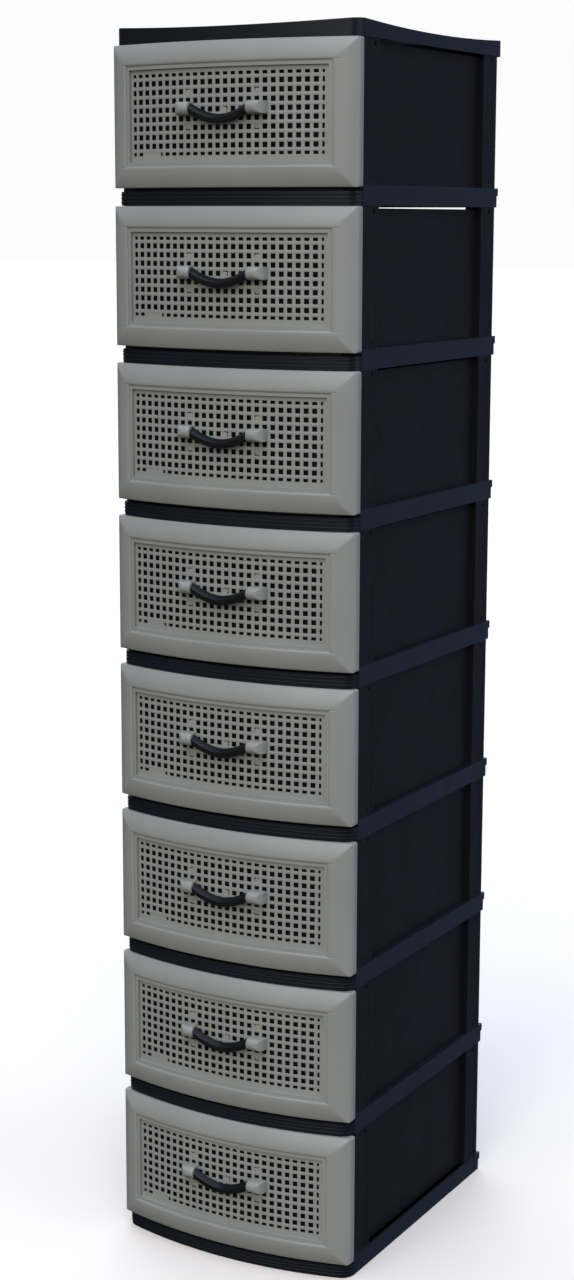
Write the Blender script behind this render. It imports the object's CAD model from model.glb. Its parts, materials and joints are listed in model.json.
"""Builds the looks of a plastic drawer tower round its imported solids.

Eight like tiers stand on each other. Inside a tier all sizes are millimetres: x across, y back
from the front faces of the posts, z up from the deck that the drawer runs on. place() takes
such points to metres in the shared frame.
"""

import json
import math

import bmesh
import bpy
import numpy as np
from mathutils import Matrix, Vector


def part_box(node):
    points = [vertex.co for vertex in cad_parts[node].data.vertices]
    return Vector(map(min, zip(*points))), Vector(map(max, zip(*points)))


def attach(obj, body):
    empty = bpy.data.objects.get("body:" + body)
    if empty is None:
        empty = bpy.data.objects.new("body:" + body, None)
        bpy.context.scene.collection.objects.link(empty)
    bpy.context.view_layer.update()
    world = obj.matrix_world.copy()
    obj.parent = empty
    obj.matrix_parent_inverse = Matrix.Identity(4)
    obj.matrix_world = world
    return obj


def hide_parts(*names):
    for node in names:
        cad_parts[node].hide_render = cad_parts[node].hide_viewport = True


bl_info = {
    "name": "Lattice-fronted drawer tower",
    "version": (1, 0, 0),
    "blender": (4, 5, 0),
    "location": "View3D > Sidebar > Tower",
    "description": "Drawer fronts, grips and moulded frames for a stacked plastic drawer tower",
    "category": "Add Mesh",
}

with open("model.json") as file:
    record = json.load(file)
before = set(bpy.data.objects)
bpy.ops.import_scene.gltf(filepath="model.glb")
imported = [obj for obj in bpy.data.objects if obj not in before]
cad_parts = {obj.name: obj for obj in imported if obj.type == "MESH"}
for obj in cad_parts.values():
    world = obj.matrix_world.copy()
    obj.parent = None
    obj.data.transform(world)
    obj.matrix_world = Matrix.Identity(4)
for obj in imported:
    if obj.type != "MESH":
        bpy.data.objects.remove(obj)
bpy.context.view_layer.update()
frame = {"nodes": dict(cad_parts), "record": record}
TIERS = sum(name.startswith("drawer_tray") for name in frame["nodes"])
FRONT_LOW, FRONT_HIGH = (1000 * np.array(corner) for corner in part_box("drawer_front_1"))
POST_FRONT = -1000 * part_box("side_panel_right_1")[0][1]

# Levels of a drawer front's grid, from the front to the back
BAND, LEDGE, PANEL = 0, 1, 2

# Points round a turned post, round a pin, and stations along a grip
LATHE_POINTS, PIN_POINTS, GRIP_STATIONS = 24, 20, 61

# The droop of a grip follows 1 - t ** DROOP_POWER, t being 0 in the middle and 1 at the ends
DROOP_POWER = 1.8

# Radius of a grip's pin in millimetres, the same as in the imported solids
PIN_RADIUS = 3.0

# Degrees: faces within FLAT_WITHIN are joined, edges over SHARP_FROM stay sharp and edges over
# ROUND_FROM are rounded
FLAT_WITHIN, SHARP_FROM, ROUND_FROM = 0.15, 14, 28

# The floor's half size and the gap under the feet, in metres
FLOOR_HALF, FLOOR_GAP = 60, 0.0005

# The camera: focal length in pixels where the long side has LONG_SIDE pixels, sensor size in
# millimetres, place in metres, and yaw, downward pitch and roll in degrees
FOCAL, LONG_SIDE, SENSOR = 2248.3, 1280, 36
CAMERA_PLACE = (1.4656, -2.6456, 1.3824)
CAMERA_TURN = (29.42, 10.59, 0.149)


# Sizes and colours that a user would change --------------------------------------------------


def millimetres(name, text, value, low, high):
    """A size in millimetres, as a property."""
    return bpy.props.FloatProperty(
        name=name, description=text + ", in millimetres", default=value, min=low, max=high
    )


def paint(name, text, code):
    """A colour given as sRGB hex, as a property that holds linear values."""
    return bpy.props.FloatVectorProperty(
        name=name, description=text, default=srgb(code)[:3], subtype="COLOR", size=3, min=0, max=1
    )


def srgb(code):
    """sRGB hex to linear RGBA.

    A channel c is c / 12.92 up to 0.04045, else ((c + 0.055) / 1.055) ** 2.4.
    """
    c = np.array([int(code[i : i + 2], 16) / 255 for i in (1, 3, 5)])
    linear = np.where(c <= 0.04045, c / 12.92, ((c + 0.055) / 1.055) ** 2.4)
    return (*linear.tolist(), 1.0)


class TowerSizes(bpy.types.PropertyGroup):
    """Sizes of the tiers, in millimetres."""

    base: millimetres("Base height", "Height of the base frame up to its deck", 25, 10, 60)
    ring: millimetres("Frame height", "Height of a tier frame", 25.5, 10, 60)
    frame_half: millimetres("Frame half width", "Half the width of the frames", 174.5, 100, 300)
    lip_reach: millimetres("Lip reach", "Lip's middle ahead of the posts", 41.5, 10, 80)
    lip_bow: millimetres("Lip bow", "How far the lip falls back to its sides", 27.5, 5, 60)
    lip_corner: millimetres("Lip corner", "Radius of the front corners of the frames", 20, 5, 40)
    rib_out: millimetres("Rib height", "How far the lip's ribs stand out", 0.8, 0.1, 1)
    rib_width: millimetres("Rib width", "Width of a rib on the lip", 1.6, 0.5, 4)
    pitch: millimetres("Tier pitch", "Distance from one deck to the next", 200, 150, 300)
    depth_shift: millimetres(
        "Depth shift", "Posts' front faces from the middle of the depth", POST_FRONT, 100, 250
    )
    bow_radius: millimetres("Bow radius", "Radius of the bowed border", 625.78, 300, 2000)
    bow_reach: millimetres("Bow reach", "Border's middle ahead of the posts", 51, 20, 80)
    front_half: millimetres(
        "Front half width", "Half the width of a drawer front", (FRONT_HIGH - FRONT_LOW)[0] / 2, 100, 300
    )
    front_low: millimetres("Front drop", "Lower edge of a front below its deck", 3.6, 0, 10)
    front_high: millimetres("Front top", "Upper edge of a front above its deck", 173.9, 100, 260)
    wall: millimetres("Front wall", "Wall of a drawer front", 2.4, 1, 5)
    lattice_wall: millimetres("Lattice wall", "Thickness of the bars of the lattice", 1.1, 0.5, 3)
    lattice_middle: millimetres(
        "Lattice middle", "Middle of the field of holes above the deck", 85.85, 40, 130
    )
    side_fall: millimetres("Side fall", "How far the border falls back to its side edges", 12, 4, 20)
    side_gap: millimetres("Side gap", "Rear edges of a front's sides ahead of the posts", 6.5, 1, 10)
    edge_round: millimetres("Edge round", "Radius on the top and bottom edges of a front", 0.9, 0.2, 3)
    band_top: millimetres("Top border", "Height of the border along the top", 26.9, 5, 60)
    band_bottom: millimetres("Bottom border", "Height of the border along the bottom", 26.2, 5, 60)
    band_side: millimetres("Side border", "Width of the border at the sides", 29, 5, 60)
    fall_top: millimetres("Top fall", "How far the border falls back to its top edge", 8, 1, 20)
    fall_bottom: millimetres("Bottom fall", "How far the border falls back to its bottom edge", 5.5, 1, 20)
    fall_inner: millimetres("Inner fall", "How far the border falls back to the recess", 0.9, 0, 3)
    inner_round: millimetres("Inner round", "Width of the round from the border to the recess", 3, 1, 10)
    corner: millimetres("Corner radius", "Radius of a front's corners, seen from the front", 2.8, 1, 15)
    flange: millimetres("Flange", "Depth of the flanges along the top and the bottom", 14, 5, 30)
    step: millimetres("Step", "Depth of the first step inside the border", 2, 0.5, 5)
    ledge: millimetres("Ledge", "Width of the ledge between the two steps", 5.5, 1, 12)
    sink: millimetres("Lattice depth", "Depth of the lattice behind the border", 5.5, 2, 12)
    hole_pitch: millimetres("Hole pitch", "Distance from one hole to the next", 10.95, 6, 20)
    hole: millimetres("Hole width", "Width of a hole", 6.6, 3, 10)
    margin_left: millimetres("Left margin", "Bare margin of the lattice left of the holes", 4.5, 1, 20)
    margin_right: millimetres("Right margin", "Bare margin of the lattice right of the holes", 6, 1, 20)
    margin_ends: millimetres(
        "Upper margin", "Mean bare margin of the lattice above and below the holes", 6.6, 1, 20
    )
    crown: millimetres("Bar crown", "How far a bar's middle stands above its edges", 0.4, 0, 2)
    fixing_shift: millimetres(
        "Fixing shift", "How far the fixing posts sit off their rows, towards the handle", 1.5, 0, 3
    )
    boss_gap: millimetres("Boss span", "Distance between the two handle bosses", 83, 50, 150)
    boss_length: millimetres("Boss length", "Length of a handle boss", 23.2, 10, 40)
    boss_flat: millimetres("Boss flat", "Length of a boss before its outer end rounds off", 11, 5, 30)
    boss_radius: millimetres("Boss radius", "Half the height of a handle boss", 8, 3, 10)
    boss_depth: millimetres("Boss depth", "How far a boss stands ahead of the handle axis", 6.9, 3, 10)
    axis_out: millimetres("Axis height", "Handle axis ahead of the lattice", 7.4, 5, 15)
    axis_up: millimetres("Axis raise", "Handle axis above the middle of its row of holes", 1, -2, 3)
    droop: millimetres("Droop", "How far the grip hangs below its axis", 13, 4, 20)
    grip_height: millimetres("Grip height", "Height of the grip bar", 12, 6, 20)
    grip_depth: millimetres("Grip depth", "Depth of the grip bar", 9, 4, 15)
    edge: millimetres("Edge radius", "Radius on the edges of the moulded frames and panels", 0.9, 0.1, 2)


class TowerColours(bpy.types.PropertyGroup):
    """Colours of the moulded plastics."""

    front: paint("Front", "Warm light grey of the fronts", "#91928C")
    frame: paint("Frames", "Blue-black of the tier frames", "#0F141D")
    panel: paint("Panels", "Black of posts and side panels", "#17171B")
    tray: paint("Trays", "Black of the drawer trays", "#101113")
    grip: paint("Grips", "Polished black of the grips", "#0B0B0D")
    floor: paint("Floor", "Pale floor under the tower", "#FFF3E2")


# Shapes ---------------------------------------------------------------------------------------


def place(points, tier):
    """Millimetres in the frame of a tier to metres in the shared frame.

    y moves forward by the depth shift, z up by the base and the tiers below.
    """
    s = bpy.context.scene.tower_sizes
    return (np.asarray(points, float) + [0, -s.depth_shift, s.base + (tier - 1) * s.pitch]) / 1000


def bow(x, radius, centre):
    """Depth of the bow at x: centre minus the root of radius squared less x squared."""
    return centre - np.sqrt(radius**2 - np.asarray(x, float) ** 2)


def shell(outer, inner, keep=None):
    """Closed shell between two grids of points.

    Each kept cell gives an outer and an inner quad, and each side of a kept cell with no kept
    neighbour gives a wall from the outer to the inner grid.
    """
    n, m = outer.shape[:2]
    index = np.arange(n * m).reshape(n, m)
    keep = np.ones((n - 1, m - 1), bool) if keep is None else keep
    a, b, c, d = index[:-1, :-1], index[1:, :-1], index[1:, 1:], index[:-1, 1:]
    around = np.pad(keep, 1)
    up, down = around[:-1, 1:-1], around[1:, 1:-1]
    left, right = around[1:-1, :-1], around[1:-1, 1:]
    rows = index[:, :-1], index[:, 1:]
    columns = index[:-1, :], index[1:, :]
    walls = [
        (rows[0][down & ~up], rows[1][down & ~up]),
        (rows[1][up & ~down], rows[0][up & ~down]),
        (columns[1][right & ~left], columns[0][right & ~left]),
        (columns[0][left & ~right], columns[1][left & ~right]),
    ]
    quads = [
        np.stack([a[keep], b[keep], c[keep], d[keep]], -1),
        np.stack([a[keep], d[keep], c[keep], b[keep]], -1) + n * m,
    ]
    quads += [np.stack([p, q, q + n * m, p + n * m], -1) for p, q in walls]
    points = np.concatenate([outer.reshape(-1, 3), inner.reshape(-1, 3)])
    return points, np.concatenate(quads)


def tube(rings):
    """Closed body from n rings of m points.

    Quads join neighbouring rings, and the first and the last ring are each closed by one face.
    """
    n, m = rings.shape[:2]
    index = np.arange(n * m).reshape(n, m)
    turn = np.roll(index, -1, axis=1)
    quads = np.stack([index[:-1], turn[:-1], turn[1:], index[1:]], -1).reshape(-1, 4)
    return rings.reshape(-1, 3), quads.tolist() + [index[0, ::-1].tolist(), index[-1].tolist()]


def make_piece(name, parts, material, body, nodes=(), crease=32):
    """One mesh object from several closed bodies, each a pair of points in metres and faces.

    Its faces are turned outwards, and edges sharper than crease degrees stay sharp.
    """
    points, faces, offset = [], [], 0
    for p, f in parts:
        points.append(np.asarray(p, float).reshape(-1, 3))
        listed = f.tolist() if hasattr(f, "tolist") else f
        faces += [[v + offset for v in face] for face in listed]
        offset += len(points[-1])
    mesh = bpy.data.meshes.new(name)
    mesh.from_pydata(np.concatenate(points), [], faces)
    finish_mesh(mesh, crease)
    mesh.materials.append(material)
    piece = bpy.data.objects.new(name, mesh)
    bpy.context.scene.collection.objects.link(piece)
    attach(piece, body)
    if nodes:
        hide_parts(*nodes)
    return piece


def finish_mesh(mesh, crease):
    """Merges doubles, turns the faces outwards and marks edges sharper than crease degrees."""
    work = bmesh.new()
    work.from_mesh(mesh)
    bmesh.ops.remove_doubles(work, verts=work.verts, dist=1e-6)
    bmesh.ops.dissolve_degenerate(work, edges=work.edges, dist=1e-6)
    bmesh.ops.recalc_face_normals(work, faces=work.faces)
    work.to_mesh(mesh)
    work.free()
    mesh.shade_smooth()
    mesh.set_sharp_from_angle(angle=math.radians(crease))


# Materials ------------------------------------------------------------------------------------


def add_node(tree, kind, links=(), **settings):
    """Adds a node, sets its properties or, by name, its inputs, and links (input, output) pairs."""
    made = tree.nodes.new(kind)
    for key, value in settings.items():
        if hasattr(made, key):
            setattr(made, key, value)
        else:
            made.inputs[key.replace("_", " ")].default_value = value
    for into, out in links:
        tree.links.new(out, made.inputs[into])
    return made


def moulded_plastic(name, colour, shade, roughness, grain_mm, grain_depth, ior, dust=0.0):
    """Injection-moulded plastic.

    The base colour drifts a little over centimetres, as masterbatch does along its flow, the gloss
    varies with handling, and spark-eroded grain breaks the reflections.
    """
    material = bpy.data.materials.new(name)
    material.use_nodes = True
    tree = material.node_tree
    shader = tree.nodes["Principled BSDF"]
    shader.inputs["IOR"].default_value = ior
    place_of = add_node(tree, "ShaderNodeTexCoord")
    here = place_of.outputs["Object"]
    # Flow marks some 80 mm long
    flow = add_node(
        tree, "ShaderNodeTexNoise", [("Vector", here)], Scale=1000 / 80, Detail=3.0, Roughness=0.5
    )
    tone = add_node(
        tree, "ShaderNodeMapRange", [("Value", flow.outputs["Fac"])], From_Min=0.3, From_Max=0.7
    )
    mix = add_node(tree, "ShaderNodeMix", [("Factor", tone.outputs["Result"])], data_type="RGBA")
    mix.inputs["A"].default_value = (*colour, 1)
    mix.inputs["B"].default_value = (*shade, 1)
    colour_out = mix.outputs["Result"]
    if dust:
        # Dust lies on what faces up, in patches some 25 mm across
        normal = add_node(tree, "ShaderNodeNewGeometry").outputs["Normal"]
        split = add_node(tree, "ShaderNodeSeparateXYZ", [("Vector", normal)])
        patches = add_node(
            tree, "ShaderNodeTexNoise", [("Vector", here)], Scale=1000 / 25, Detail=4.0
        )
        level = add_node(
            tree,
            "ShaderNodeMapRange",
            [("Value", split.outputs["Z"])],
            From_Min=0.55,
            From_Max=1.0,
            To_Max=dust,
        )
        amount = add_node(
            tree,
            "ShaderNodeMath",
            [(0, level.outputs["Result"]), (1, patches.outputs["Fac"])],
            operation="MULTIPLY",
        )
        dusty = add_node(
            tree,
            "ShaderNodeMix",
            [("Factor", amount.outputs[0]), ("A", colour_out)],
            data_type="RGBA",
        )
        dusty.inputs["B"].default_value = srgb("#8B8A86")
        colour_out = dusty.outputs["Result"]
    tree.links.new(colour_out, shader.inputs["Base Color"])
    # Handling marks some 30 mm across
    handled = add_node(
        tree, "ShaderNodeTexNoise", [("Vector", here)], Scale=1000 / 30, Detail=5.0, Roughness=0.6
    )
    gloss = add_node(
        tree,
        "ShaderNodeMapRange",
        [("Value", handled.outputs["Fac"])],
        From_Min=0.25,
        From_Max=0.75,
        To_Min=roughness - 0.06,
        To_Max=roughness + 0.06,
    )
    tree.links.new(gloss.outputs["Result"], shader.inputs["Roughness"])
    # The real grain is near 0.2 mm, too fine to show, so it is drawn coarser
    grain = add_node(
        tree, "ShaderNodeTexNoise", [("Vector", here)], Scale=1000 / grain_mm, Detail=2.0
    )
    bump = add_node(
        tree,
        "ShaderNodeBump",
        [("Height", grain.outputs["Fac"])],
        Strength=0.35,
        Distance=grain_depth / 1000,
    )
    tree.links.new(bump.outputs["Normal"], shader.inputs["Normal"])
    return material


def shaded(colour, share):
    """A colour darkened to a share of itself."""
    return [v * share for v in colour]


def make_materials():
    """The five plastics of the tower, by material slot.

    The numbers after the two colours are roughness, grain size and grain depth in millimetres,
    and index of refraction.
    """
    c = bpy.context.scene.tower_colours
    return {
        # Satin polypropylene: soft highlights that follow the bow
        "front_plastic": moulded_plastic(
            "satin_grey_polypropylene", c.front, shaded(c.front, 0.93), 0.42, 0.9, 0.06, 1.45
        ),
        # Polystyrene with a blue carbon black: darker and a little glossier
        "frame_plastic": moulded_plastic(
            "blue_black_polystyrene", c.frame, shaded(c.frame, 0.8), 0.36, 1.0, 0.06, 1.32, 0.04
        ),
        "panel_plastic": moulded_plastic(
            "black_grained_polystyrene", c.panel, shaded(c.panel, 0.8), 0.48, 1.2, 0.08, 1.2, 0.03
        ),
        # Trays have the coarsest grain, which hides scratches
        "tray_plastic": moulded_plastic(
            "black_textured_polypropylene", c.tray, shaded(c.tray, 0.8), 0.6, 1.6, 0.12, 1.3
        ),
        # Polished cavity: sharp highlights along the grip
        "grip_plastic": moulded_plastic(
            "polished_black_abs", c.grip, shaded(c.grip, 0.9), 0.32, 2.5, 0.02, 1.3
        ),
    }


def material_of(slot):
    """The material of a slot, made once."""
    if not bpy.context.scene.get("tower_materials"):
        made = make_materials()
        bpy.context.scene["tower_materials"] = {key: value.name for key, value in made.items()}
    return bpy.data.materials[bpy.context.scene["tower_materials"][slot]]


# Drawer fronts --------------------------------------------------------------------------------


def bar_lines(count, pitch, width, low, high):
    """Positions across the hole field.

    They are the two edges of each hole, trimmed to the field from low to high, and three lines
    along each bar between holes. Returns positions, the number of the hole that starts there
    (0 elsewhere) and the crown (0 on the ridge, 1 at a hole's edge).
    """
    centres = (np.arange(1, count + 1) - (count + 1) / 2) * pitch
    bar = pitch - width
    position, starts, crown = [], [], []
    for k, c in enumerate(centres):
        position += [max(c - width / 2, low), min(c + width / 2, high)]
        starts += [k + 1, 0]
        crown += [1.0 if k else 0.0, 1.0 if k < count - 1 else 0.0]
        if k < count - 1:
            position += [c + width / 2 + share * bar for share in (0.2, 0.5, 0.8)]
            starts += [0, 0, 0]
            crown += [0.36, 0.0, 0.36]
    return np.array(position), np.array(starts), np.array(crown)


def front_lines(s, inset):
    """Lines of a front's grid, across and up.

    Each set is positions, levels, hole starts, crowns and setbacks. inset draws the same lines for
    the inner face of the wall. The last four lines at every edge share its place and run straight
    back.
    """
    setbacks = np.array([s.flange, s.flange / 2, 2.0, 0.7])
    # Across: the side border is a quarter ellipse in plan, so its lines are spread by angle
    recess = s.front_half - s.band_side
    panel = recess - s.ledge
    side = recess + (s.band_side - inset) * np.sin(np.linspace(math.pi / 2, 0.12, 20))
    steps = [recess + 1.5, recess + 0.35, recess, recess - 0.3, recess - 0.6]
    levels = [BAND, BAND, BAND, LEDGE, LEDGE]
    steps += [panel + 0.5, panel + 0.25, panel - 0.05, panel - 0.5]
    levels += [LEDGE, LEDGE, PANEL, PANEL]
    edge_x = np.concatenate([[side[0]] * 4, side, steps])
    edge_level = np.array([BAND] * (4 + len(side)) + levels)
    columns = int(2 * panel / s.hole_pitch)
    field_x, starts_x, crown_x = bar_lines(
        columns, s.hole_pitch, s.hole, s.margin_left - panel, panel - s.margin_right
    )
    x = np.concatenate([-edge_x, field_x, edge_x[::-1]])
    level_x = np.concatenate([edge_level, np.full(len(field_x), PANEL), edge_level[::-1]])
    pad = np.zeros(len(edge_x))
    starts_x = np.concatenate([pad, starts_x, pad]).astype(int)
    crown_x = np.concatenate([pad, crown_x, pad])
    # The blank plate ends halfway through the fifth hole
    at = int(np.flatnonzero(starts_x == 5)[0])
    x = np.insert(x, at + 1, (5 - (columns + 1) / 2) * s.hole_pitch)
    level_x = np.insert(level_x, at + 1, PANEL)
    starts_x = np.insert(starts_x, at + 1, 5)
    crown_x = np.insert(crown_x, at + 1, 1.0)
    back_x = np.zeros(len(x))
    back_x[:4], back_x[-4:] = setbacks, setbacks[::-1]
    # Up: each border is an arc in section, with closer lines at the small round of its outer edge
    z_low, z_high = -s.front_low, s.front_high
    recess_low, recess_high = z_low + s.band_bottom, z_high - s.band_top
    panel_low, panel_high = recess_low + s.ledge, recess_high - s.ledge
    close = s.edge_round * np.array([0, 0.05, 0.2, 0.5, 1.0])
    near = np.array([2.2, 1.5, 0.9, 0.4])

    def border_lines(width):
        """Distances of the lines from the outer edge of a border."""
        return np.concatenate([close, np.linspace(2.2, width - inset - 3, 12), width - inset - near])

    bottom = z_low + inset + border_lines(s.band_bottom)
    top = z_high - inset - border_lines(s.band_top)
    up = [recess_low, recess_low + 0.3, recess_low + 0.6]
    up += [panel_low - 0.5, panel_low - 0.25, panel_low + 0.05, panel_low + 0.5]
    down = [panel_high - 0.5, panel_high - 0.05, panel_high + 0.25, panel_high + 0.5]
    down += [recess_high - 0.6, recess_high - 0.3, recess_high]
    levels = [BAND, LEDGE, LEDGE, LEDGE, LEDGE, PANEL, PANEL]
    middle = s.lattice_middle
    field_half = (panel_high - panel_low) / 2 - s.margin_ends
    rows = int((panel_high - panel_low) / s.hole_pitch)
    field_z, starts_z, crown_z = bar_lines(rows, s.hole_pitch, s.hole, -field_half, field_half)
    z = np.concatenate(
        [[bottom[0]] * 4, bottom, up, middle + field_z, down, top[::-1], [top[0]] * 4]
    )
    border = [BAND] * (4 + len(bottom))
    level_z = np.concatenate([border, levels, np.full(len(field_z), PANEL), levels[::-1], border])
    pad = np.zeros(len(border) + len(up))
    starts_z = np.concatenate([pad, starts_z, pad]).astype(int)
    crown_z = np.concatenate([pad, crown_z, pad])
    back_z = np.zeros(len(z))
    back_z[:4], back_z[-4:] = setbacks, setbacks[::-1]
    return x, level_x, starts_x, crown_x, back_x, z, level_z, starts_z, crown_z, back_z


def front_grid(s, inset):
    """Points of a front's outer (inset 0) or inner face.

    Depth is the bow's radius less an arc's drop towards the top and bottom edges. At the sides it
    is the bow plus a quarter ellipse, fall (1 - root(1 - t^2)), and both meet in a mitre by a soft
    maximum: h = clip(0.5 + (a - b) / 2k), b + (a - b) h + k h (1 - h). Inside the border the radius
    is that of the ledge or the lattice, and bars rise to their ridges as 1 - q squared.
    """
    lines = front_lines(s, inset)
    x, level_x, starts_x, crown_x, back_x, z, level_z, starts_z, crown_z, back_z = lines
    centre_y = s.bow_radius - s.bow_reach
    half, z_low, z_high = s.front_half - inset, -s.front_low + inset, s.front_high - inset
    recess = s.front_half - s.band_side
    recess_low, recess_high = -s.front_low + s.band_bottom, s.front_high - s.band_top
    gx, gz = np.meshgrid(x, z)
    # Shares of the way from the recess to each outer edge
    beside = np.clip((np.abs(gx) - recess) / (half - recess), 0, 1)
    below = np.clip((recess_low - gz) / (recess_low - z_low), 0, 1)
    above = np.clip((gz - recess_high) / (z_high - recess_high), 0, 1)
    # Rounded corners: the square of the corner is mapped on to a quarter disc
    r = max(s.corner - inset, 1.0)
    u = np.clip((np.abs(gx) - (half - r)) / r, 0, 1)
    for low, sign in ((z_low + r, -1), (z_high - r, 1)):
        v = np.clip(sign * (gz - low) / r, 0, 1)
        inside = (u > 0) & (v > 0)
        gx = np.where(inside, np.sign(gx) * (half - r + r * u * np.sqrt(1 - v**2 / 2)), gx)
        gz = np.where(inside, low + sign * r * v * np.sqrt(1 - u**2 / 2), gz)
    # Drop of the border in section, its round at the outer edge and its fall to the recess
    drop = np.zeros_like(gx)
    borders = (below, s.band_bottom, s.fall_bottom), (above, s.band_top, s.fall_top)
    for share, height, fall in borders:
        big = (height**2 + fall**2) / (2 * fall)
        drop += big - np.sqrt(big**2 - (share * height) ** 2)
        near = np.clip(1 - (1 - share) * height / s.edge_round, 0, 1)
        drop += s.edge_round * (1 - np.sqrt(1 - near**2))
        inner = np.clip(1 - share * height / s.inner_round, 0, 1) ** 2
        drop += np.where(share > 0, s.fall_inner * inner, 0)
    between = (below == 0) & (above == 0)
    inner = np.clip(1 - beside * s.band_side / s.inner_round, 0, 1) ** 2
    drop += np.where(between, s.fall_inner * inner, 0)
    section = bow(gx, s.bow_radius - inset - drop, centre_y)
    plan = bow(gx, s.bow_radius - inset, centre_y) + s.side_fall * (1 - np.sqrt(1 - beside**2))
    # Softness of the mitre, in millimetres
    k = 0.4
    h = np.clip(0.5 + 0.5 * (plan - section) / k, 0, 1)
    border = section + (plan - section) * h + k * h * (1 - h)
    level = np.minimum(level_x[None, :], level_z[:, None])
    ledge = bow(gx, s.bow_radius - s.step - inset, centre_y)
    crown = np.zeros_like(gx)
    if inset == 0:
        crown = s.crown * np.minimum(crown_x[None, :], crown_z[:, None])
    depth = s.sink + (s.lattice_wall if inset else 0)
    panel = bow(gx, s.bow_radius - depth, centre_y) + crown
    y = np.choose(level, [border, ledge, panel]) + np.maximum(back_x[None, :], back_z[:, None])
    # The rear edges end at the side gap, on a slight slope that keeps their points apart
    y = np.minimum(y, -s.side_gap - 0.0005 * np.abs(gz))
    points = np.stack([gx, y, gz], -1)
    hole = (starts_x[None, :-1] > 0) & (starts_z[:-1, None] > 0)
    # The plate closes the third and the fourth hole of the lowest row and half of the fifth
    covered = np.isin(starts_x[:-1], (3, 4))
    covered[np.flatnonzero(starts_x == 5)[0]] = True
    plate = (starts_z[:-1, None] == 1) & covered[None, :]
    return points, ~hole | plate


def lathe(x, z, stations):
    """Closed body turned about a line along y at (x, z). Stations are (y, radius) pairs."""
    angle = np.linspace(0, 2 * math.pi, LATHE_POINTS, endpoint=False)
    y, r = np.array(stations, float).T[:, :, None]
    along = np.broadcast_to(y, (len(stations), LATHE_POINTS))
    return tube(np.stack([x + r * np.cos(angle), along, z + r * np.sin(angle)], -1))


class TOWER_OT_fronts(bpy.types.Operator):
    """Bowed fronts with a stepped border, a pierced lattice and the posts behind it"""

    bl_idname = "tower.fronts"
    bl_label = "Drawer fronts"

    def execute(self, context):
        s = context.scene.tower_sizes
        outer, keep = front_grid(s, 0)
        inner, _ = front_grid(s, s.wall)
        middle = row_height(s)
        centre_y = s.bow_radius - s.bow_reach
        lattice = s.bow_radius - s.sink
        posts = []
        for side in (-1, 1):
            for up, shift in ((2, -s.fixing_shift), (-2, s.fixing_shift)):
                x, z = side * 4.5 * s.hole_pitch, middle + up * s.hole_pitch + shift
                face = float(bow(x, lattice, centre_y))
                # Behind the lattice: a chamfer, the post, and a thinner tip
                profile = (0.9, 3.3), (1.1, 3.8), (7.0, 3.8), (7.6, 2.5), (11.0, 2.5)
                posts.append(lathe(x, z, [(face + back, radius) for back, radius in profile]))
        for tier in range(1, TIERS + 1):
            points, quads = shell(outer, inner, keep)
            parts = [(place(points, tier), quads)]
            parts += [(place(p, tier), f) for p, f in posts]
            make_piece(
                f"lattice_front_{tier}", parts, material_of("front_plastic"), f"drawer_{tier}",
                [f"drawer_front_{tier}"],
            )
        return {"FINISHED"}


def row_height(s):
    """Height of the handle's row of holes: half a pitch above the middle of the lattice."""
    return s.lattice_middle + s.hole_pitch / 2


def handle_height(s):
    """Height of the handle axis, a little above the middle of its row."""
    return row_height(s) + s.axis_up


def handle_depth(s):
    """Depth of the handle axis, ahead of the middle of the lattice."""
    return -s.bow_reach + s.sink - s.axis_out


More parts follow.
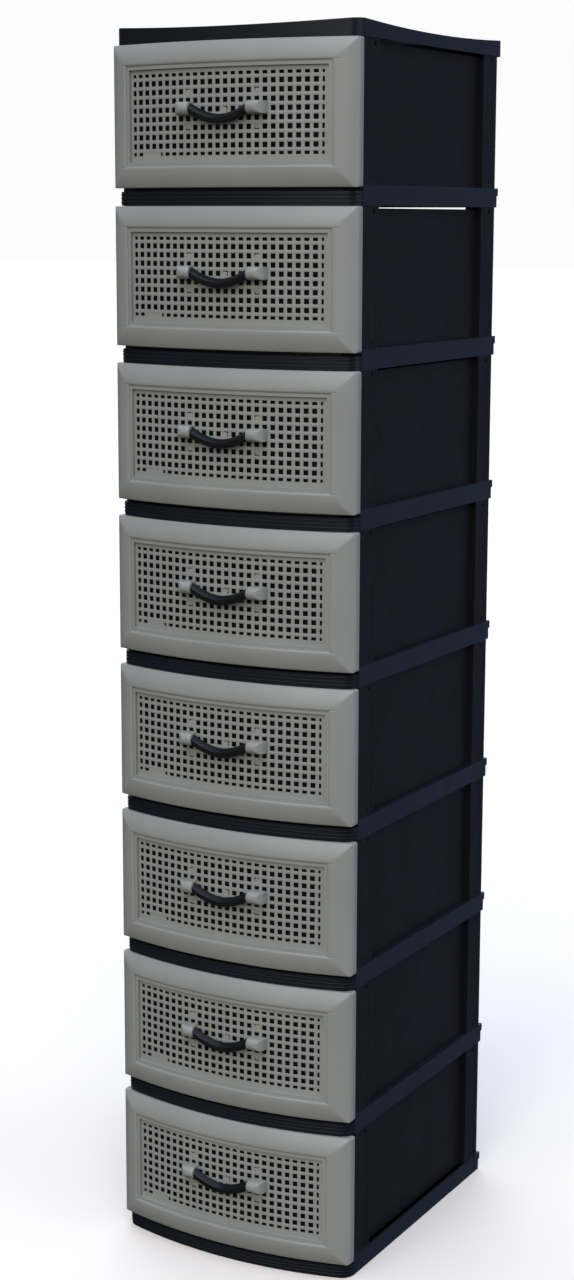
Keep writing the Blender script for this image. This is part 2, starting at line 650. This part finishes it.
class TOWER_OT_bosses(bpy.types.Operator):
    """Bosses that carry the grip, and the gate mark beside them"""

    bl_idname = "tower.bosses"
    bl_label = "Handle bosses"

    def execute(self, context):
        s = context.scene.tower_sizes
        axis_y, axis_z = handle_depth(s), handle_height(s)
        foot = -s.bow_reach + s.sink + 4.5
        # Section: half an ellipse ahead of the axis, then straight back to the lattice
        angle = np.linspace(-90, 90, 21)
        round_y = axis_y - s.boss_depth * np.cos(np.radians(angle))
        round_z = s.boss_radius * np.sin(np.radians(angle))
        section_y = np.concatenate([[foot], round_y, [foot]])
        section_z = np.concatenate([[-s.boss_radius], round_z, [s.boss_radius]])
        x0 = s.boss_gap / 2
        tip = axis_y - s.boss_depth
        # Along x the face stays level, then falls back to the lattice as a quarter ellipse
        rest = s.boss_length - s.boss_flat
        outer_end = s.boss_flat + rest * np.sin(np.linspace(0, math.pi / 2, 12))
        along = np.concatenate([[0, 0.35, 0.8, 6], outer_end])
        ease = np.clip((along - s.boss_flat) / rest, 0, 1)
        limit = tip + (foot - tip) * (1 - np.sqrt(np.clip(1 - ease**2, 0, 1)))
        # The inner end has a small round, and the outer end narrows a little in height
        shrink = np.where(along < 0.1, 0.94, np.where(along < 0.5, 0.98, 1.0))
        # The foot steps back by a hair from point to point, which keeps its points apart
        foot_y = foot + 1e-3 * np.arange(len(section_y))
        rings = []
        for reach, lim, k in zip(along, limit, shrink):
            y = np.minimum(np.maximum(foot - (foot - section_y) * k, lim), foot_y)
            narrow = 1 - 0.08 * np.clip((reach - s.boss_flat) / rest, 0, 1) ** 2
            z = axis_z + section_z * k * narrow
            rings.append(np.stack([np.full(len(y), x0 + reach), y, z], -1))
        right = np.array(rings)
        for tier in range(1, TIERS + 1):
            parts = []
            for side in (1, -1):
                points, faces = tube(right * [side, 1, 1])
                parts.append((place(points, tier), faces))
            # A gate mark in the middle of the lattice
            face = -s.bow_reach + s.sink
            points, faces = lathe(
                s.hole_pitch / 2 - 1.2, row_height(s) - 1.0,
                [(face + 2.0, 3.4), (face + 0.7, 3.5), (face + 0.45, 3.3), (face + 0.4, 1.5)],
            )
            parts.append((place(points, tier), faces))
            make_piece(
                f"handle_bosses_{tier}", parts, material_of("front_plastic"), f"drawer_{tier}",
                [f"drawer_front_{tier}"], crease=40,
            )
        return {"FINISHED"}


class TOWER_OT_grips(bpy.types.Operator):
    """Drooping black grips, one between each pair of bosses"""

    bl_idname = "tower.grips"
    bl_label = "Grips"

    def execute(self, context):
        s = context.scene.tower_sizes
        axis_y, axis_z = handle_depth(s), handle_height(s)
        end = s.boss_gap / 2 - 0.3
        # Section in half depths and half heights, front first: upright front facet, foot,
        # upright back and a facet that slopes up to the back
        corner = [[-1, 0.24], [-1, -0.8], [-0.55, -1], [0.6, -1], [1, -0.6], [1, 0.75], [0.55, 1]]
        corner = np.array(corner) * [s.grip_depth / 2, s.grip_height / 2]
        section = rounded_loop(corner, 0.22, 5)
        x = end * np.sin(np.linspace(-math.pi / 2, math.pi / 2, GRIP_STATIONS))
        t = np.abs(x) / end
        centre = -s.droop * (1 - t**DROOP_POWER)
        slope = s.droop * DROOP_POWER * t ** (DROOP_POWER - 1) / end
        # The bar is upright in section, so its height grows where it slopes
        taper = np.clip(np.sqrt(1 + slope**2), 1, 1.12)
        # A small round over the last 1.2 mm of each end
        tip = np.clip((end - np.abs(x)) / 1.2, 0, 1)
        size = (0.94 + 0.06 * np.sqrt(1 - (1 - tip) ** 2))[:, None]
        rings = np.stack(
            [
                np.repeat(x[:, None], len(section), 1),
                axis_y + section[None, :, 0] * size,
                axis_z + centre[:, None] + section[None, :, 1] * taper[:, None] * size,
            ],
            -1,
        )
        # Each end has a pin that reaches 7 mm into its boss and has a chamfer at its tip
        angle = np.linspace(0, 2 * math.pi, PIN_POINTS, endpoint=False)
        profile = (end - 0.5, PIN_RADIUS), (end + 7.0, PIN_RADIUS), (end + 7.3, PIN_RADIUS - 0.3)
        reach, r = np.array(profile).T[:, :, None]
        across = np.broadcast_to(reach, (len(profile), PIN_POINTS))
        circle = np.stack([across, axis_y + r * np.cos(angle), axis_z + r * np.sin(angle)], -1)
        pin = [tube(circle * [side, 1, 1]) for side in (-1, 1)]
        for tier in range(1, TIERS + 1):
            points, faces = tube(rings)
            parts = [(place(points, tier), faces)] + [(place(p, tier), f) for p, f in pin]
            make_piece(
                f"grip_bar_{tier}", parts, material_of("grip_plastic"), f"grip_{tier}",
                [f"bail_handle_{tier}"], crease=50,
            )
        return {"FINISHED"}


def rounded_loop(corners, share, steps):
    """Polygon whose corners are parabolas that take up a share of each side.

    A corner b between a and c on its sides is (1 - t)^2 a + 2 t (1 - t) b + t^2 c.
    """
    before = corners + share * (np.roll(corners, 1, 0) - corners)
    after = corners + share * (np.roll(corners, -1, 0) - corners)
    t = np.linspace(0, 1, steps)[None, :, None]
    a, b, c = before[:, None], corners[:, None], after[:, None]
    return ((1 - t) ** 2 * a + 2 * t * (1 - t) * b + t**2 * c).reshape(-1, 2)


# Carcass --------------------------------------------------------------------------------------


def softened_copy(node, name, body, slot, radius):
    """Copy of a CAD node with its edges rounded to a radius in millimetres.

    Doubles are merged and flat faces joined first. Normals are weighted by area, so that broad
    faces stay flat.
    """
    source = frame["nodes"][node].data
    work = bmesh.new()
    work.from_mesh(source)
    bmesh.ops.remove_doubles(work, verts=work.verts, dist=2e-6)
    bmesh.ops.dissolve_limit(
        work,
        angle_limit=math.radians(FLAT_WITHIN),
        use_dissolve_boundaries=False,
        verts=work.verts,
        edges=work.edges,
    )
    mesh = bpy.data.meshes.new(name)
    work.to_mesh(mesh)
    work.free()
    mesh.materials.clear()
    mesh.materials.append(material_of(slot))
    mesh.shade_smooth()
    mesh.set_sharp_from_angle(angle=math.radians(SHARP_FROM))
    piece = bpy.data.objects.new(name, mesh)
    bpy.context.scene.collection.objects.link(piece)
    rounding = piece.modifiers.new("moulded_edges", "BEVEL")
    rounding.width = radius / 1000
    rounding.segments = 2
    rounding.limit_method = "ANGLE"
    rounding.angle_limit = math.radians(ROUND_FROM)
    rounding.use_clamp_overlap = True
    rounding.miter_outer = "MITER_ARC"
    flat = piece.modifiers.new("flat_faces", "WEIGHTED_NORMAL")
    flat.weight = 80
    flat.keep_sharp = True
    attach(piece, body)
    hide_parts(node)
    return piece


class TOWER_OT_carcass(bpy.types.Operator):
    """Frames, cover, panels and trays with rounded moulded edges"""

    bl_idname = "tower.carcass"
    bl_label = "Carcass and trays"

    def execute(self, context):
        s = context.scene.tower_sizes
        made = {"base_frame": "moulded_base", "top_cover": "moulded_cover"}
        for tier in range(1, TIERS + 1):
            if tier > 1:
                made[f"tier_frame_{tier}"] = f"moulded_frame_{tier}"
            made[f"side_panel_left_{tier}"] = f"moulded_left_{tier}"
            made[f"side_panel_right_{tier}"] = f"moulded_right_{tier}"
            made[f"back_panel_{tier}"] = f"moulded_back_{tier}"
            made[f"drawer_tray_{tier}"] = f"moulded_tray_{tier}"
        slots = {item["node"]: item["material_slot"] for item in frame["record"]["subparts"]}
        for node, name in made.items():
            body = "drawer_" + node.split("_")[-1] if node.startswith("drawer_tray") else "carcass"
            softened_copy(node, name, body, slots[node], s.edge)
        return {"FINISHED"}


class TOWER_OT_lips(bpy.types.Operator):
    """Fine ribs along the front lip of the base and of each tier frame"""

    bl_idname = "tower.lips"
    bl_label = "Lip ribs"

    def execute(self, context):
        s = context.scene.tower_sizes
        half = s.frame_half
        radius = (half**2 + s.lip_bow**2) / (2 * s.lip_bow)
        centre = radius - s.lip_reach
        cx = half - s.lip_corner
        cy = centre - math.sqrt((radius - s.lip_corner) ** 2 - cx**2)
        tilt = math.atan2(cy - centre, cx)
        # Plan of the lip: a corner arc, the bow and the other corner arc
        bow_angle = np.linspace(-math.pi - tilt, tilt, 81)
        corner_angle = np.linspace(tilt, -0.05, 8)[1:]
        plan = np.stack([radius * np.cos(bow_angle), centre + radius * np.sin(bow_angle)], -1)
        outward = np.stack([np.cos(bow_angle), np.sin(bow_angle)], -1)
        side_out = np.stack([np.cos(corner_angle), np.sin(corner_angle)], -1)
        side = np.array([cx, cy]) + s.lip_corner * side_out
        flip = np.array([-1, 1])
        plan = np.concatenate([(side * flip)[::-1], plan, side])
        outward = np.concatenate([(side_out * flip)[::-1], outward, side_out])
        # Each rib is a low half round carried along the plan
        round_angle = np.linspace(-math.pi / 2, math.pi / 2, 7)
        out = np.concatenate([[-1.2], s.rib_out * np.cos(round_angle), [-1.2]])
        up = s.rib_width / 2 * np.concatenate([[-1], np.sin(round_angle), [1]])
        for tier in range(1, TIERS + 1):
            height = s.base if tier == 1 else s.ring
            parts = []
            for level in (0.46, 0.64, 0.82):
                points = plan[:, None, :] + outward[:, None, :] * out[None, :, None]
                z = np.broadcast_to(-level * height + up, points.shape[:2])
                rings, faces = tube(np.concatenate([points, z[..., None]], -1))
                parts.append((place(rings, tier), faces))
            make_piece(
                f"lip_ribs_{tier}", parts, material_of("frame_plastic"), "carcass",
            )
        return {"FINISHED"}


# Stage ----------------------------------------------------------------------------------------


def aim(obj, target):
    """Turns an object so that its -Z axis points at a place."""
    direction = Vector(target) - obj.location
    obj.rotation_euler = direction.to_track_quat("-Z", "Y").to_euler()


def studio_world():
    """Room light by height: dim below the horizon, a grey wall above it and a cool ceiling.

    A window at the back right shines along the side panels. Towards the back left a pale wall
    meets the far edge of the floor.
    """
    world = bpy.data.worlds.new("soft_room")
    world.use_nodes = True
    tree = world.node_tree
    shader = tree.nodes["Background"]
    place_of = add_node(tree, "ShaderNodeTexCoord")
    here = place_of.outputs["Generated"]
    up = add_node(tree, "ShaderNodeSeparateXYZ", [("Vector", here)]).outputs["Z"]
    height = add_node(tree, "ShaderNodeMapRange", [("Value", up)], From_Min=-1.0, From_Max=1.0)
    ramp = add_node(tree, "ShaderNodeValToRGB", [("Fac", height.outputs["Result"])])
    # Sines of the height above the horizon, and colours
    stops = (
        (-1.0, "#26272A"),
        (-0.03, "#34363A"),
        (0.06, "#54585F"),
        (0.25, "#757A84"),
        (0.5, "#8B97AE"),
        (1.0, "#A6C2F2"),
    )
    elements = ramp.color_ramp.elements
    while len(elements) < len(stops):
        elements.new(0.5)
    for element, (sine, code) in zip(elements, stops):
        element.position = (sine + 1) / 2
        element.color = srgb(code)

    def glow(direction, low, high):
        """Share of a lobe round a direction, between two cosines of the angle from its middle."""
        facing = add_node(tree, "ShaderNodeVectorMath", [(0, here)], operation="DOT_PRODUCT")
        facing.inputs[1].default_value = direction
        lobe = add_node(
            tree,
            "ShaderNodeMapRange",
            [("Value", facing.outputs["Value"])],
            interpolation_type="SMOOTHSTEP",
            From_Min=low,
            From_Max=high,
        )
        return lobe.outputs["Result"]

    def mixed(share, base, code):
        """The base colour mixed with another by a share."""
        mix = add_node(tree, "ShaderNodeMix", [("Factor", share), ("A", base)], data_type="RGBA")
        mix.inputs["B"].default_value = srgb(code)
        return mix.outputs["Result"]

    # The window's light fades out some 50 degrees round its middle
    window = mixed(glow((0.49, 0.87, 0.03), 0.65, 0.98), ramp.outputs["Color"], "#6F8099")
    # The pale wall fades out some 25 degrees to each side and 10 degrees up
    share = glow((-0.49, 0.87, 0.0), 0.9, 0.97)
    for low, high in ((0.2, 0.12), (-0.08, -0.06)):
        limit = add_node(tree, "ShaderNodeMapRange", [("Value", up)], From_Min=low, From_Max=high)
        product = add_node(
            tree,
            "ShaderNodeMath",
            [(0, share), (1, limit.outputs["Result"])],
            operation="MULTIPLY",
        )
        share = product.outputs[0]
    wall = mixed(share, window, "#FCFCFD")
    tree.links.new(wall, shader.inputs["Color"])
    return world


class TOWER_OT_stage(bpy.types.Operator):
    """Pale floor, soft lights and the camera"""

    bl_idname = "tower.stage"
    bl_label = "Stage"

    def execute(self, context):
        scene = context.scene
        mesh = bpy.data.meshes.new("floor")
        signs = (-1, -1), (1, -1), (1, 1), (-1, 1)
        corners = [(FLOOR_HALF * i, FLOOR_HALF * j, -FLOOR_GAP) for i, j in signs]
        mesh.from_pydata(corners, [], [(0, 1, 2, 3)])
        floor = bpy.data.objects.new("floor", mesh)
        scene.collection.objects.link(floor)
        material = bpy.data.materials.new("pale_floor_paint")
        material.use_nodes = True
        shader = material.node_tree.nodes["Principled BSDF"]
        shader.inputs["Base Color"].default_value = (*scene.tower_colours.floor, 1)
        shader.inputs["Roughness"].default_value = 0.7
        mesh.materials.append(material)
        # The floor throws no light back, so that the black plastics stay black, and it lets the
        # light from below the horizon through
        floor.visible_diffuse = False
        floor.visible_glossy = False
        floor.visible_shadow = False
        scene.world = studio_world()
        # Each light: turn from the front towards the right and height in degrees, its angular
        # size in degrees, strength and colour.
        # A wide key light on the right, so large and far that the top and the foot of the tower
        # get the same light, a cool one along the side panels, a fill light that reaches under
        # the bosses, a ceiling that draws the upper edges, and a weak one for the back panels
        for name, turn, height, spread, strength, code in (
            ("key_light", 14, 34, 60, 1.95, "#FFFAF0"),
            ("side_light", 95, 15, 50, 0.75, "#EAF0FF"),
            ("fill_light", -20, -12, 70, 0.22, "#FFF9F0"),
            ("ceiling_light", 20, 80, 60, 1.3, "#D2E0FF"),
            ("back_light", 215, 40, 50, 0.7, "#F2F5FF"),
        ):
            data = bpy.data.lights.new(name, "SUN")
            data.angle = math.radians(spread)
            data.energy = strength
            data.color = srgb(code)[:3]
            lamp = bpy.data.objects.new(name, data)
            scene.collection.objects.link(lamp)
            turn, height = math.radians(turn), math.radians(height)
            lamp.location = (
                5 * math.sin(turn) * math.cos(height),
                -5 * math.cos(turn) * math.cos(height),
                5 * math.sin(height),
            )
            aim(lamp, (0, 0, 0))
        # The long side of the frame spans the sensor
        data = bpy.data.cameras.new("camera")
        data.lens = FOCAL / LONG_SIDE * SENSOR
        data.sensor_width = SENSOR
        data.clip_start = 0.05
        camera = bpy.data.objects.new("camera", data)
        scene.collection.objects.link(camera)
        yaw, pitch, roll = (math.radians(v) for v in CAMERA_TURN)
        level = Vector((-math.sin(yaw), math.cos(yaw), 0))
        forward = math.cos(pitch) * level - math.sin(pitch) * Vector((0, 0, 1))
        right = Vector((math.cos(yaw), math.sin(yaw), 0))
        up = right.cross(forward)
        right_r = math.cos(roll) * right + math.sin(roll) * up
        up_r = math.cos(roll) * up - math.sin(roll) * right
        turn = Matrix((right_r, up_r, -forward)).transposed().to_4x4()
        camera.matrix_world = Matrix.Translation(CAMERA_PLACE) @ turn
        scene.camera = camera
        # Standard, so that the plastics keep the colours that are given
        scene.view_settings.view_transform = "Standard"
        return {"FINISHED"}


class TOWER_PT_panel(bpy.types.Panel):
    """The tower's steps, in order"""

    bl_idname = "TOWER_PT_panel"
    bl_label = "Drawer tower"
    bl_space_type = "VIEW_3D"
    bl_region_type = "UI"
    bl_category = "Tower"

    def draw(self, context):
        for group in (context.scene.tower_sizes, context.scene.tower_colours):
            column = self.layout.column(align=True)
            for key in group.__annotations__:
                column.prop(group, key)
        for operator in OPERATORS:
            self.layout.operator(operator.bl_idname)


OPERATORS = (
    TOWER_OT_carcass,
    TOWER_OT_lips,
    TOWER_OT_fronts,
    TOWER_OT_bosses,
    TOWER_OT_grips,
    TOWER_OT_stage,
)
CLASSES = (TowerSizes, TowerColours, *OPERATORS, TOWER_PT_panel)


def register():
    for item in CLASSES:
        bpy.utils.register_class(item)
    bpy.types.Scene.tower_sizes = bpy.props.PointerProperty(type=TowerSizes)
    bpy.types.Scene.tower_colours = bpy.props.PointerProperty(type=TowerColours)


def unregister():
    del bpy.types.Scene.tower_colours
    del bpy.types.Scene.tower_sizes
    for item in reversed(CLASSES):
        bpy.utils.unregister_class(item)


def main():
    register()
    bpy.ops.tower.carcass()
    bpy.ops.tower.lips()
    bpy.ops.tower.fronts()
    bpy.ops.tower.bosses()
    bpy.ops.tower.grips()
    bpy.ops.tower.stage()


if __name__ == "__main__":
    main()
